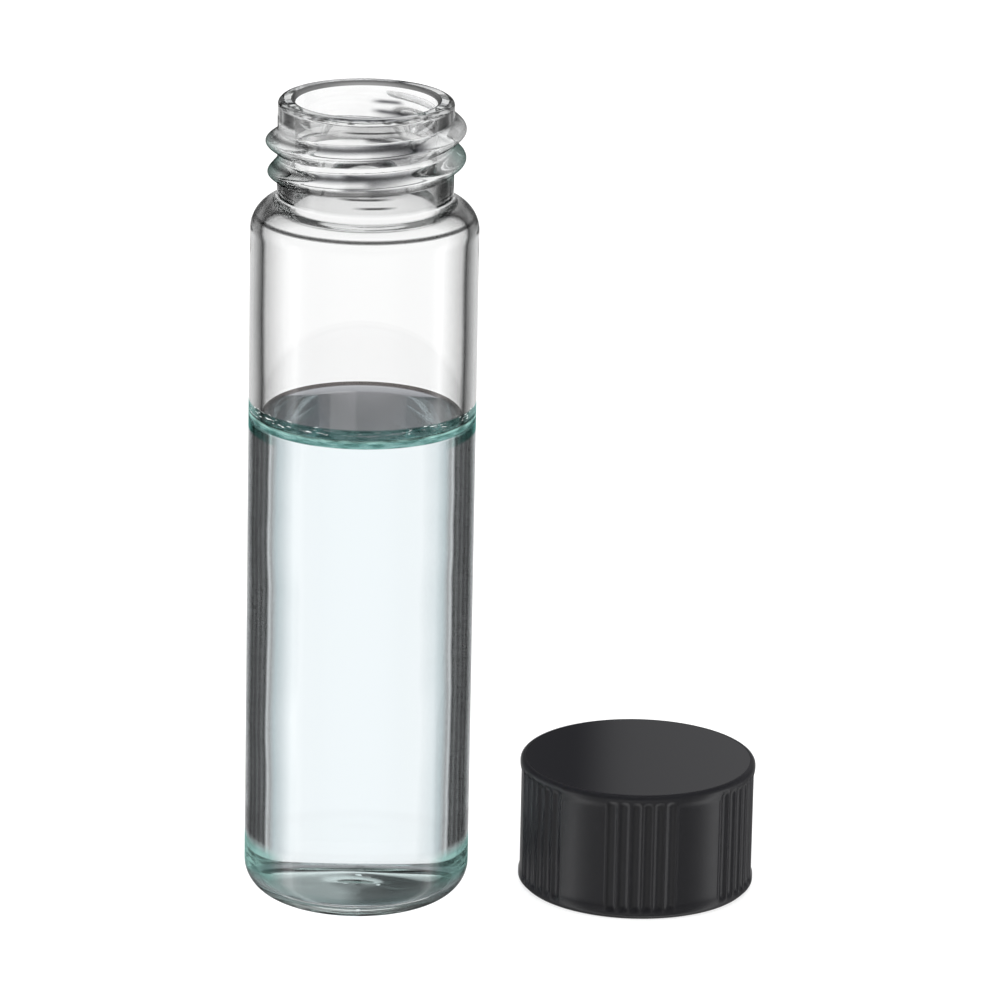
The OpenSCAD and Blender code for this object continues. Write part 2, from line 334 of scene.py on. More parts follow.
def dome(radius, z, rise, steps=24):
    """A shallow spherical cap from its rim at height z in to just short of the axis."""
    r = radius * np.linspace(1, 0, steps + 1)[:-1]
    ball = (radius ** 2 + rise ** 2) / (2 * rise)
    return np.stack([r, z + rise - ball + np.sqrt(ball ** 2 - r ** 2)], 1)


def turned(name, profile, columns, first_z, last_z, shape=None):
    """A closed surface of revolution: the profile's points (radius, height) carried round Z on an
    even grid of angles, with a single point on the axis at each end. shape takes the grid's
    angles, radii and heights, and gives back the radii and heights after it has moved them."""
    angle = np.linspace(0, 2 * np.pi, columns, endpoint=False)[None, :]
    r = np.repeat(profile[:, :1], columns, 1)
    z = np.repeat(profile[:, 1:], columns, 1)
    angle = np.repeat(angle, len(profile), 0)
    if shape:
        r, z = shape(angle, r, z)
    grid = np.stack([r * np.cos(angle), r * np.sin(angle), z], 2).reshape(-1, 3)
    points = np.concatenate([grid, [[0, 0, first_z], [0, 0, last_z]]]) * MM
    rows = len(profile)
    i, j = np.meshgrid(np.arange(rows - 1), np.arange(columns), indexing="ij")
    a, b = i * columns + j, i * columns + (j + 1) % columns
    quads = np.stack([a, b, b + columns, a + columns], 2).reshape(-1, 4)
    k = np.arange(columns)
    first = np.stack([np.full(columns, rows * columns), (k + 1) % columns, k], 1)
    top = (rows - 1) * columns
    last = np.stack([np.full(columns, rows * columns + 1), top + k, top + (k + 1) % columns], 1)
    mesh = bpy.data.meshes.new(name)
    mesh.from_pydata(points.tolist(), [], quads.tolist() + first.tolist() + last.tolist())
    mesh.polygons.foreach_set("use_smooth", np.ones(len(mesh.polygons), bool))
    mesh.update()
    piece = bpy.data.objects.new(name, mesh)
    scene.collection.objects.link(piece)
    return piece


def mark_rows(piece, name, columns, first, last):
    """A face attribute that is 1 on the bands between rows first and last, and 0 elsewhere."""
    rows = (len(piece.data.polygons) - 2 * columns) // columns
    row = np.concatenate([np.repeat(np.arange(rows), columns), np.repeat([0, rows - 1], columns)])
    mark = ((row >= first) & (row < last)).astype(np.float32)
    piece.data.attributes.new(name, "FLOAT", "FACE").data.foreach_set("value", mark)


shoulder_c = BODY_R - SHOULDER_R
neck_foot = VIAL_H - NECK_H
out_turn = math.degrees(math.acos((NECK_R + NECK_FILLET - shoulder_c) / (SHOULDER_R + NECK_FILLET)))
shoulder_z = neck_foot - (SHOULDER_R + NECK_FILLET) * math.sin(math.radians(out_turn))
in_arc = SHOULDER_R - WALL
in_turn = math.degrees(math.acos((BORE_R + BORE_FLARE - shoulder_c) / (in_arc + BORE_FLARE)))
flare_z = shoulder_z + (in_arc + BORE_FLARE) * math.sin(math.radians(in_turn))
foot_out = BODY_R - CORNER_R
floor_out = INNER_R - FLOOR_CORNER
dome_out = foot_out - FOOT_W

outside = np.concatenate([
    dome(dome_out, 0, PUSH_UP)[::-1],
    arc((foot_out, CORNER_R), CORNER_R, -90, 0, 22),
    line((BODY_R, CORNER_R), (BODY_R, shoulder_z), 16),
    arc((shoulder_c, shoulder_z), SHOULDER_R, 0, out_turn, 24),
    arc((NECK_R + NECK_FILLET, neck_foot), NECK_FILLET, 180 + out_turn, 180, 8)[1:],
    line((NECK_R, neck_foot), (NECK_R, VIAL_H - LIP_OUT), NECK_ROWS),
    arc((NECK_R - LIP_OUT, VIAL_H - LIP_OUT), LIP_OUT, 0, 90, LIP_ROWS + 2)])
dry_inside = np.concatenate([
    arc((BORE_R + LIP_IN, VIAL_H - LIP_IN), LIP_IN, 90, 180, LIP_ROWS),
    line((BORE_R, VIAL_H - LIP_IN), (BORE_R, flare_z), 12),
    arc((BORE_R + BORE_FLARE, flare_z), BORE_FLARE, 180, 180 + in_turn, 14),
    arc((shoulder_c, shoulder_z), in_arc, in_turn, 0, 16)[1:],
    line((INNER_R, shoulder_z), (INNER_R, WETTED_Z), 10)])
wet_inside = np.concatenate([
    [[INNER_R, WETTED_Z]],
    line((INNER_R, WETTED_Z), (INNER_R, BASE_T + FLOOR_CORNER), 14),
    arc((floor_out, BASE_T + FLOOR_CORNER), FLOOR_CORNER, 0, -90, 16),
    dome(floor_out, BASE_T, PUSH_UP)[1:]])


def ends(t, run):
    """How far a thread has risen after the angle t: a smooth half cosine over the angle run."""
    return (1 - np.cos(np.pi * np.clip(t / run, 0, 1))) / 2


def bead_turns(angle):
    """The bead thread at an angle in radians, turn by turn: how far down the helix that is, in
    degrees from its upper end, and the height there, which falls by the pitch in each turn."""
    for lap in range(math.ceil(THREAD_TURNS) + 1):
        down = (THREAD_END - np.degrees(angle)) % 360 + 360 * lap
        yield down, VIAL_H - THREAD_DROP - PITCH * down / 360


def bead(angle, z):
    """How far the bead thread stands out: half a cosine to the power 1.2 across its width, that
    rises and dies away over an angle at its ends."""
    out = np.zeros_like(z)
    for down, middle in bead_turns(angle):
        off = np.clip(np.abs(z - middle) / THREAD_HALF, 0, 1)
        section = np.cos(np.pi / 2 * off) ** 1.2
        out = np.maximum(out, section * ends(down, RUN_IN)
                         * ends(360 * THREAD_TURNS - down, RUN_OUT))
    return THREAD_OUT * out


def glass_shape(angle, r, z):
    """The neck's outside moves out by the bead. The melted shut base, inside and out, rises and
    falls by two cosines: a slow one along the radius, whose length varies round the base, and a
    slight one with two waves to the turn. Both fade out towards the dome's rim."""
    in_dome = (r < dome_out + TINY) & (z < DOME_BELOW)
    fade = np.clip(1 - r / dome_out, 0, 1) ** 0.5
    waves = BASE_WAVES + BASE_SKEW * np.cos(angle - BASE_SIDE)
    z = z + in_dome * fade * (BASE_WAVE * np.cos(r * waves) + BASE_RIPPLE * np.cos(2 * angle + r))
    moved = r.copy()
    out = slice(0, len(outside))
    moved[out] += bead(angle[out], z[out]) * (r[out] >= NECK_R - TINY) * (z[out] > neck_foot)
    return moved, z


vial_profile = np.concatenate([outside, dry_inside, wet_inside])
vial = turned("vial_glass", vial_profile, COLUMNS, PUSH_UP + BASE_WAVE,
              BASE_T + PUSH_UP + BASE_WAVE, glass_shape)
dry_row, wet_row = len(outside) - 1, len(outside) + len(dry_inside)
mark_rows(vial, "outer", COLUMNS, 0, dry_row)
mark_rows(vial, "wet", COLUMNS, wet_row, len(vial_profile))
mark_rows(vial, "lip", COLUMNS, dry_row - LIP_ROWS, dry_row)
mark_rows(vial, "lip_inside", COLUMNS, dry_row + 1, dry_row + 1 + LIP_ROWS)


def mark_bead(piece, name, offset, width, run_in, low_x=-math.inf, high_x=math.inf):
    """A point attribute that is 1 on a line along the bead, offset millimetres above its middle,
    and falls away on both sides of it as a bell curve of the given width. It begins over the
    angle run_in, and low_x and high_x say how far across the neck it reaches, where it fades
    over a millimetre."""
    points = np.empty(len(piece.data.vertices) * 3, np.float32)
    piece.data.vertices.foreach_get("co", points)
    x, y, z = points.reshape(-1, 3).T / MM
    mark = np.zeros(len(z), np.float32)
    for down, middle in bead_turns(np.arctan2(y, x)):
        bell = np.exp(-((z - middle - offset) / width) ** 2)
        mark = np.maximum(mark, bell * ends(down, run_in)
                          * ends(360 * THREAD_TURNS - down, RUN_OUT))
    mark *= ends(x - low_x, 1.0) * ends(high_x - x, 1.0)
    piece.data.attributes.new(name, "FLOAT", "POINT").data.foreach_set("value", mark)


# Painted shade: a grey line follows the bead's upper side, and two dark ones lie where it begins.
mark_bead(vial, "bead_upper_side", 0.55, 0.15, RUN_IN, high_x=4.5)
mark_bead(vial, "bead_start", -0.1, 0.14, 12.0, -2.0, 3.4)
mark_bead(vial, "bead_start_foot", -0.8, 0.16, 12.0, -0.4, 4.6)

GLASS_IOR, WATER_IOR = 1.5, 1.333
GLASS_GREEN = "#C4EDE4"
# Noise is stretched into marks, so many to the radian round the vial and so many to the
# millimetre across them: streaks 0.3 mm wide, dashes of 0.15 mm, and painted shade of 0.3 mm on the
# lip.
STREAKS, DASHES, LIP_SHADING_CELLS = (5.0, 3.2), (11.0, 6.5), (7.0, 3.4)
# Waves to the millimetre, sideways and up the tube: one is 25 mm across and 10 mm high.
UNEVENNESS = (0.04, 0.04, 0.095)


def band(tree, length, start, full, last, stop):
    """A factor by a length in metres: 1 between full and last, 0 outside start and stop, where
    all four are in millimetres."""
    return between(tree, length, start * MM, full * MM, last * MM, stop * MM)


def by_slant(tree, slant, stops):
    """A colour by how slantwise the surface is met: 0 head on, 1 edge on."""
    ramp = add_node(tree, "ShaderNodeValToRGB", {0: slant})
    set_ramp(ramp, stops, "LINEAR")
    return ramp.outputs[0]


def tones(*pairs):
    """Stops written as (position, sRGB level from 0 to 255), in linear greys."""
    return [(at, linear("#%02X%02X%02X" % ((level,) * 3))) for at, level in pairs]


def from_axis(tree, place):
    """How far a place is from the upright axis through the origin: its length without its Z."""
    flat = add_node(tree, "ShaderNodeVectorMath", {0: place, 1: (1.0, 1.0, 0.0)},
                    operation="MULTIPLY").outputs[0]
    return add_node(tree, "ShaderNodeVectorMath", {0: flat}, operation="LENGTH").outputs["Value"]


def stretched(tree, angle, length, counts, detail):
    """Noise in cells that are long round the vial and narrow along a length in metres, with
    counts cells to the radian and to the millimetre."""
    spread = add_node(tree, "ShaderNodeCombineXYZ", {"X": angle, "Y": length}).outputs[0]
    cells = add_node(tree, "ShaderNodeVectorMath", {0: spread, 1: (counts[0], counts[1] / MM, 0.0)},
                     operation="MULTIPLY").outputs[0]
    return add_node(tree, "ShaderNodeTexNoise", {"Vector": cells, "Scale": 1.0,
                                                 "Detail": detail}).outputs["Fac"]


def fine_lines(first, last, count, dark, light):
    """Stops for a number of dark lines, evenly spaced from first to last, with lighter gaps."""
    places = np.linspace(first, last, 2 * count - 1)
    return tones(*[(at, light if n % 2 else dark) for n, at in enumerate(places)])


# What the wall lets through, from head on in the middle of the tube to edge on at its sides, with
# painted shade. Empty, it has one soft painted dark line at each side, where the bore is seen edge
# on. Filled, the tube is a strong lens, and fine dark upright lines are painted at its sides, for
# the ends of the room that it shows.
BORE_SEEN = 1 - math.sqrt(1 - (INNER_R / BODY_R) ** 2)
bare_stops = tones((0.3, 255), (BORE_SEEN - 0.06, 200), (BORE_SEEN, 80), (BORE_SEEN + 0.08, 160),
                   (BORE_SEEN + 0.2, 225), (1.0, 250))
filled_stops = [(0.2, grey(1.0)), (0.36, linear("#C4CCCE"))] + tones((0.41, 170), (0.44, 200))
filled_stops += fine_lines(0.47, 0.7, 4, 80, 110) + tones((0.8, 170), (0.9, 230), (1.0, 250))
# Painted shade: the neck has two dark lines at each side. The bead, the lip and the shoulder are
# painted darker at a slant, one fine dark line runs round the shoulder, and short ones show in the
# neck.
neck_stops = tones((0.10, 226), (0.17, 222), (0.32, 210), (0.40, 190), (0.46, 120), (0.54, 92),
                   (0.62, 120), (0.68, 190), (0.74, 130), (0.80, 200), (0.90, 225), (1.0, 235))
bead_stops = tones((0.5, 255), (0.66, 236), (0.80, 226), (0.87, 150), (0.94, 96), (1.0, 90))
lip_stops = tones((0.0, 250), (0.1, 240), (0.36, 222), (0.63, 204), (0.74, 140), (1.0, 124))
lip_inside_stops = tones((0.0, 160), (0.2, 128), (0.63, 128), (0.74, 108), (1.0, 100))
shoulder_stops = tones((0.56, 255), (0.68, 196), (0.76, 120), (0.84, 92), (0.92, 130), (1.0, 150))
ring_stops = tones((0.0, 104), (0.3, 96), (0.5, 120), (0.7, 190), (0.8, 240))
arc_stops = tones((0.0, 96), (0.09, 104), (0.15, 200), (0.2, 255))
# At a slant there is more glass to see through, so the bead's ends, the foot's corner and the
# stretch under the liquid's edge show its green.
bead_green_stops = [(0.4, grey(1.0)), (0.6, linear("#D0E0DC")), (0.85, linear("#A6C3BC")),
                    (1.0, linear("#98BAB2"))]
corner_stops = [(0.28, grey(1.0)), (0.42, linear("#B9DCD6")), (0.6, linear("#A9D3CC")),
                (0.8, linear("#9CC8C1")), (1.0, linear("#8FB9B3"))]
side_stops = [(0.35, grey(1.0)), (0.55, linear("#9AD4CC")), (0.75, linear("#7DBFB6"))]
foot_stops = tones((0.30, 255), (0.6, 240), (0.8, 205), (1.0, 170))
# Shares, not colours: how clear the bead's thin ends are, how much painted light lies in the foot's
# corner, and where along the liquid's edge the painted glints show.
clear_stops = [(0.24, grey(0.0)), (0.42, grey(0.5)), (0.66, grey(0.6)), (0.86, grey(0.3))]
painted_light_stops = [(0.30, grey(0.0)), (0.7, grey(0.42)), (1.0, grey(0.48))]
glint_stops = [(0.08, grey(0.15)), (0.15, grey(1.0)), (0.6, grey(1.0)), (0.8, grey(0.5))]

# Clear borosilicate, fire polished: no colour head on, and a faint green along its thickness.
# Fine dark lines down each side of the tube are painted shade in its colour.
clear_glass = bpy.data.materials.new("clear borosilicate glass")
tree = new_tree(clear_glass)
path = add_node(tree, "ShaderNodeLightPath").outputs
slant = add_node(tree, "ShaderNodeLayerWeight", {"Blend": 0.5}).outputs["Facing"]
inside = add_node(tree, "ShaderNodeNewGeometry").outputs["Backfacing"]
place = add_node(tree, "ShaderNodeTexCoord").outputs["Object"]
x, y, height = add_node(tree, "ShaderNodeSeparateXYZ", {0: place}).outputs
off_axis = add_node(tree, "ShaderNodeMath", {0: x}, operation="ABSOLUTE").outputs[0]
forward = add_node(tree, "ShaderNodeMath", {0: y, 1: -1.0}, operation="MULTIPLY").outputs[0]
angle = add_node(tree, "ShaderNodeMath", {0: x, 1: forward}, operation="ARCTAN2").outputs[0]
outer = add_node(tree, "ShaderNodeAttribute", attribute_name="outer").outputs["Fac"]
front = add_node(tree, "ShaderNodeMath", {0: outer, 1: inside}, operation="SUBTRACT",
                 use_clamp=True).outputs[0]

# The liquid's edge, seen in the wall's thickness, is painted as a sea-green ring, with streaks of
# painted light and shade round it, and painted shade below.
streak = stretched(tree, angle, height, STREAKS, 3.0)
upper_ring = add_node(tree, "ShaderNodeValToRGB", {0: streak})
set_ramp(upper_ring, [(0.36, linear("#6A9A94")), (0.45, linear("#94C3BD")),
                      (0.52, linear("#B0D8D4")), (0.58, linear("#94C3BD")),
                      (0.66, linear("#DCF0EE"))], "LINEAR")
lower_ring = add_node(tree, "ShaderNodeValToRGB", {0: streak})
set_ramp(lower_ring, [(0.38, linear("#547E78")), (0.48, linear("#709B95")),
                      (0.60, linear("#90B5B0"))], "LINEAR")
# Three short painted dark lines lie in front, one under the lip and two under the lower bead, and
# only the bead's ends, at both sides of the neck, show green.
patches = []
for heights, sideways, widths, stops in (
        ((59.00, 59.06, 59.12, 59.18), x, (-1.8, -0.8, 1.8, 3.0), arc_stops),
        ((54.10, 54.18, 54.26, 54.34), x, (-2.2, -1.0, 0.8, 2.2), arc_stops),
        ((53.46, 53.54, 53.62, 53.70), x, (-1.0, 0.2, 1.2, 2.4), arc_stops),
        ((54.0, 54.6, 56.9, 57.6), off_axis, (5.4, 6.4, 8.0, 9.0), bead_green_stops)):
    patches.append((all_of(tree, band(tree, height, *heights), band(tree, sideways, *widths)),
                    by_slant(tree, slant, stops)))
# Drawn tube is never quite even, so the painted lines of its wall waver a little along it.
along = add_node(tree, "ShaderNodeVectorMath", {0: place, 1: [n / MM for n in UNEVENNESS]},
                 operation="MULTIPLY").outputs[0]
waver = add_node(tree, "ShaderNodeTexNoise", {"Vector": along, "Scale": 1.0,
                                              "Detail": 2.0}).outputs["Fac"]
shift = add_node(tree, "ShaderNodeMapRange", {"Value": waver, "From Min": 0.3, "From Max": 0.7,
                                              "To Min": -0.02, "To Max": 0.02}).outputs[0]
wall_slant = add_node(tree, "ShaderNodeMath", {0: slant, 1: shift}, operation="ADD").outputs[0]
upper_side = add_node(tree, "ShaderNodeAttribute", attribute_name="bead_upper_side").outputs["Fac"]
# Each row is one part of the vial: where it is, and what it lets through, mostly painted shade;
# the foot too is painted darker at a slant.
tint_and_painted_shade = grey(1.0)
for where, colour in (
        (band(tree, height, 36.6, 37.0, 52.4, 53.0), by_slant(tree, wall_slant, bare_stops)),
        (band(tree, height, 3.9, 5.0, 36.2, 36.6), by_slant(tree, wall_slant, filled_stops)),
        (band(tree, height, 52.9, 53.2, 54.6, 55.2), by_slant(tree, slant, neck_stops)),
        (band(tree, height, 58.4, 58.7, 59.5, 59.8), by_slant(tree, slant, neck_stops)),
        (band(tree, height, 53.4, 53.8, 58.8, 59.0), by_slant(tree, slant, bead_stops)),
        (band(tree, height, 0.1, 0.4, 2.0, 2.6), by_slant(tree, slant, foot_stops)),
        (band(tree, height, 1.8, 2.5, 4.2, 5.0), by_slant(tree, slant, corner_stops)),
        (band(tree, height, 50.4, 51.2, 52.3, 52.8), by_slant(tree, slant, shoulder_stops)),
        (band(tree, height, 51.33, 51.45, 51.57, 51.69), by_slant(tree, slant, ring_stops)),
        *patches,
        # painted shade: a grey line along the bead's upper side
        (upper_side, linear("#8C8C8C")),
        (band(tree, height, 36.84, 36.92, 37.65, 37.8), upper_ring.outputs[0]),
        (band(tree, height, 36.3, 36.36, 36.84, 36.92), lower_ring.outputs[0]),
        (band(tree, height, 35.5, 35.7, 36.3, 36.36), by_slant(tree, slant, side_stops))):
    tint_and_painted_shade = add_node(tree, "ShaderNodeMix", {"Factor": where, 6: tint_and_painted_shade, 7: colour},
                    data_type="RGBA", blend_type="MULTIPLY").outputs[2]

# The lip's outer rounding has painted light and shade: painted darker at a slant, with painted dark
# and light marks round it. Its inner rounding is painted greyer, and counts as front, because it is
# met from outside too.
out_from_axis = from_axis(tree, place)
lip_shading_noise = stretched(tree, angle, out_from_axis, LIP_SHADING_CELLS, 3.0)
lip_painted_light_and_shade = add_node(tree, "ShaderNodeValToRGB", {0: lip_shading_noise})
set_ramp(lip_painted_light_and_shade, [(0.36, grey(0.16)), (0.44, grey(0.45)), (0.52, grey(0.85)), (0.6, grey(1.0))],
         "LINEAR")
on_lip = add_node(tree, "ShaderNodeAttribute", attribute_name="lip").outputs["Fac"]
in_lip = add_node(tree, "ShaderNodeAttribute", attribute_name="lip_inside").outputs["Fac"]
lip_painted_tone = add_node(tree, "ShaderNodeMix", {
    "Factor": 1.0, 6: by_slant(tree, slant, lip_stops), 7: lip_painted_light_and_shade.outputs[0]},
    data_type="RGBA", blend_type="MULTIPLY").outputs[2]
for where, colour in ((on_lip, lip_painted_tone), (in_lip, by_slant(tree, slant, lip_inside_stops))):
    tint_and_painted_shade = add_node(tree, "ShaderNodeMix", {"Factor": where, 6: tint_and_painted_shade, 7: colour},
                    data_type="RGBA").outputs[2]
front = any_of(tree, front, in_lip)

# Light that is thrown back inside the wall loses a little each time, less in the foot, and where
# the bead starts, two painted dark lines are laid on what is thrown back, as a painted reflection.
thrown = add_node(tree, "ShaderNodeMix", {
    "Factor": band(tree, height, -2.0, -1.0, 2.6, 3.4), 6: linear("#ECECEC"),
    7: linear("#F2F8F7")}, data_type="RGBA").outputs[2]
lost = add_node(tree, "ShaderNodeMix", {
    "Factor": band(tree, height, -2.0, -1.0, 36.8, 37.0), 6: grey(1.0), 7: thrown},
    data_type="RGBA").outputs[2]
turned_back = all_of(tree, by_slant(tree, slant, [(0.25, grey(0.0)), (0.26, grey(1.0))]), inside)
within = add_node(tree, "ShaderNodeMix", {"Factor": turned_back, 6: grey(1.0), 7: lost},
                  data_type="RGBA").outputs[2]
for part in ("bead_start", "bead_start_foot"):
    there = add_node(tree, "ShaderNodeAttribute", attribute_name=part).outputs["Fac"]
    within = add_node(tree, "ShaderNodeMix", {"Factor": there, 6: within, 7: linear("#606064")},
                      data_type="RGBA", blend_type="MULTIPLY").outputs[2]
# The glass's colour here holds its green and the painted shade.
glass_tint_and_painted_shade = add_node(tree, "ShaderNodeMix", {"Factor": front, 6: within, 7: tint_and_painted_shade},
                        data_type="RGBA").outputs[2]

# Glass against air, and where the wall is wetted, glass against water.
dry, wetted = (add_node(tree, "ShaderNodeBsdfGlass", {"Color": glass_tint_and_painted_shade, "Roughness": 0.0,
                                                      "IOR": ior}).outputs[0]
               for ior in (GLASS_IOR, GLASS_IOR / WATER_IOR))
wet = add_node(tree, "ShaderNodeAttribute", attribute_name="wet").outputs["Fac"]
polished = add_node(tree, "ShaderNodeMixShader", {0: wet, 1: dry, 2: wetted}).outputs[0]
# The bead's ends thin out to clear tips, and so does the neck under the lip, so part of the
# light goes straight on through them.
tips = all_of(tree, band(tree, height, 53.4, 53.8, 59.2, 59.4),
              by_slant(tree, slant, clear_stops))
under_lip = all_of(tree, band(tree, height, 58.7, 58.95, 59.5, 59.6), 0.65)
thin = all_of(tree, any_of(tree, tips, under_lip), outer)
straight = add_node(tree, "ShaderNodeBsdfTransparent", {"Color": glass_tint_and_painted_shade}).outputs[0]
# Painted light: a matt sea-green, lit by the lamps, is mixed in at the foot's rounded corner and at
# the liquid's edge.
corner = all_of(tree, band(tree, height, 1.6, 2.7, 3.3, 4.7),
                by_slant(tree, slant, painted_light_stops))
edge = all_of(tree, band(tree, height, 36.66, 36.78, 36.88, 37.0), 0.5)
uneven = add_node(tree, "ShaderNodeMapRange", {"Value": streak, "From Min": 0.36,
                                               "From Max": 0.62, "To Min": 0.25}).outputs[0]
painted_green_light = all_of(tree, any_of(tree, corner, edge), uneven, front)
sea_green = add_node(tree, "ShaderNodeBsdfDiffuse", {"Color": linear("#98C4BC")}).outputs[0]
# Painted glints: matt white dashes along the liquid's edge, away from the middle.
glint_dashes = add_node(tree, "ShaderNodeMapRange", {
    "Value": stretched(tree, angle, height, DASHES, 1.0), "From Min": 0.60, "From Max": 0.72,
    "To Max": 0.65}).outputs[0]
painted_glints = all_of(tree, band(tree, height, 37.0, 37.2, 37.7, 37.9), front,
                by_slant(tree, slant, glint_stops), glint_dashes)
white = add_node(tree, "ShaderNodeBsdfDiffuse", {"Color": linear("#F4FAF9")}).outputs[0]
# Lamps shine through without bending, and so light the liquid and the table evenly.
lamps = any_of(tree, path["Is Shadow Ray"], path["Is Diffuse Ray"])
through = add_node(tree, "ShaderNodeBsdfTransparent", {"Color": grey(0.97)}).outputs[0]
for share, other in ((thin, straight), (painted_green_light, sea_green), (painted_glints, white), (lamps, through)):
    polished = add_node(tree, "ShaderNodeMixShader", {0: share, 1: polished, 2: other}).outputs[0]
green = add_node(tree, "ShaderNodeVolumeAbsorption", {"Color": linear(GLASS_GREEN),
                                                      "Density": 7.0})
add_node(tree, "ShaderNodeOutputMaterial", {"Surface": polished, "Volume": green.outputs[0]})
vial.data.materials.append(clear_glass)
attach(vial, "root")
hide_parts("vial")


# ------------------------------------------------------------------ the liquid
# Six millilitres of a watery, pale blue solution. Water wets glass, so its edge climbs the wall.

FILL_Z, CLIMB, CLIMB_W, FILM = 36.4, 0.4, 1.4, 0.008
LIQUID_R = INNER_R - FILM
SOLUTION_BLUE = "#95E1F7"

# The climbing edge is a quarter of an ellipse, hollow side up.
steps = np.radians(np.linspace(90, 0, 19))
climb = np.stack([LIQUID_R - CLIMB_W * (1 - np.sin(steps)),
                  FILL_Z + CLIMB * (1 - np.cos(steps))], 1)
sides = np.concatenate([
    dome(floor_out, BASE_T + FILM, PUSH_UP)[::-1][:-1],
    arc((floor_out, BASE_T + FLOOR_CORNER), FLOOR_CORNER - FILM, -90, 0, 16),
    line((LIQUID_R, BASE_T + FLOOR_CORNER), (LIQUID_R, FILL_Z + CLIMB), 12)])
top = np.concatenate([climb, line(climb[-1], (0, FILL_Z), 14)])
liquid_profile = np.concatenate([sides, top])
liquid = turned("liquid_sample", liquid_profile, COLUMNS, BASE_T + FILM + PUSH_UP, FILL_Z)
mark_rows(liquid, "open", COLUMNS, len(sides), len(liquid_profile))

# A dilute blue solution, clear as water. Its open surface bends light, and its side against
# the glass doesn't, because the glass's own wetted wall does that.
solution = bpy.data.materials.new("pale blue solution")
tree = new_tree(solution)
path = add_node(tree, "ShaderNodeLightPath").outputs
place = add_node(tree, "ShaderNodeTexCoord").outputs["Object"]
share_out = add_node(tree, "ShaderNodeMath", {0: from_axis(tree, place), 1: LIQUID_R * MM},
                     operation="DIVIDE").outputs[0]
# The steep edge of the surface has a painted dark line round it: painted shade.
rim = add_node(tree, "ShaderNodeValToRGB", {0: share_out})
set_ramp(rim, [(0.0, grey(1.0)), (0.955, grey(1.0)), (0.975, linear("#6B6462")),
               (1.0, linear("#5A5452"))], "LINEAR")
water = add_node(tree, "ShaderNodeBsdfGlass", {"Color": rim.outputs[0], "Roughness": 0.0,
                                               "IOR": WATER_IOR}).outputs[0]
through = add_node(tree, "ShaderNodeBsdfTransparent", {"Color": grey(1.0)}).outputs[0]
is_open = add_node(tree, "ShaderNodeAttribute", attribute_name="open").outputs["Fac"]
top_only = add_node(tree, "ShaderNodeMixShader", {0: is_open, 1: through, 2: water}).outputs[0]
lamps = any_of(tree, path["Is Shadow Ray"], path["Is Diffuse Ray"])
surface = add_node(tree, "ShaderNodeMixShader", {0: lamps, 1: top_only, 2: through})
blue = add_node(tree, "ShaderNodeVolumeAbsorption", {"Color": linear(SOLUTION_BLUE),
                                                     "Density": 9.0})
add_node(tree, "ShaderNodeOutputMaterial",
         {"Surface": surface.outputs[0], "Volume": blue.outputs[0]})
liquid.data.materials.append(solution)
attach(liquid, "root")
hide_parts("liquid")


# ------------------------------------------------------------------ the cap
# A low screw cap compression-moulded from black phenolic, with grip grooves in six groups. It is
# taken off and stands on its mouth beside the vial.

cap_low, cap_high = (np.array(corner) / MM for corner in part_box("cap"))
CAP_X, CAP_Y = (cap_low[:2] + cap_high[:2]) / 2
CAP_R, CAP_H = (cap_high[0] - cap_low[0]) / 2, cap_high[2]
CAP_BORE, LEAD_IN, LEAD_IN_H, CAP_TOP = 7.4, 7.7, 1.2, 1.3
EDGE_R, CHAMFER, FOOT_BAND, TOP_BAND = 0.35, 0.3, 0.7, 0.6
# The grip: steps and half widths are in degrees, and a groove's ends run a little way into the
# plain bands and are full a little way out of them.
GROUPS, GROOVES, GROOVE_STEP, GROOVE_DEPTH, GROOVE_HALF = 6, 6, 5.8, 0.23, 2.77
GROOVE_RUN, GROOVE_FULL = 0.1, 0.15
PANEL_DEPTH, PANEL_HALF, PANEL_EASE, SLOPE_H, RIB_TURN = 0.1, 12.5, 0.6, 0.4, 0.5
CAP_THREAD_TOP, CAP_THREAD_W, CAP_CREST_W, CAP_THREAD_H = 6.434, 1.0, 0.6, 0.85
CAP_THREAD_TURNS, CAP_RUN = 2, 30
CEILING_R, END_INSET = 0.15, 0.06
PHENOLIC_BLACK, GRAIN_W, CLOUD_W = "#17171A", 0.2, 10 / 9
# The cap's mesh: columns round it, and rows across the flat of its top.
CAP_COLUMNS, END_ROWS = 576, 12
ceiling = CAP_H - CAP_TOP

# The loose points round the edges of the mouth and the lead-in off, by up to 0.1.
cap_inside = np.concatenate([
    line((0, ceiling), (CAP_BORE - CEILING_R, ceiling), 6),
    arc((CAP_BORE - CEILING_R, ceiling - CEILING_R), CEILING_R, 90, 0, 4),
    line((CAP_BORE, ceiling - CEILING_R), (CAP_BORE, LEAD_IN_H), 56),
    [[CAP_BORE, LEAD_IN_H], [LEAD_IN - 0.05, LEAD_IN_H - 0.02], [LEAD_IN, LEAD_IN_H - 0.08]],
    [[LEAD_IN, 0.1], [LEAD_IN + 0.03, 0.02], [LEAD_IN + 0.1, 0.0]]])
cap_outside = np.concatenate([
    [[CAP_R - CHAMFER - 0.05, 0.0], [CAP_R - CHAMFER + 0.02, 0.03], [CAP_R - 0.04, CHAMFER - 0.03],
     [CAP_R, CHAMFER + 0.05]],
    line((CAP_R, CHAMFER + 0.05), (CAP_R, CAP_H - EDGE_R), 46),
    arc((CAP_R - EDGE_R, CAP_H - EDGE_R), EDGE_R, 0, 90, 10),
    [[CAP_R - EDGE_R - END_INSET, CAP_H]],
    line((CAP_R - EDGE_R - END_INSET, CAP_H), (0, CAP_H), END_ROWS)])


def smooth(low, high, value):
    """0 below low, 1 above high, and a smooth cubic between."""
    t = np.clip((value - low) / (high - low), 0, 1)
    return t * t * (3 - 2 * t)


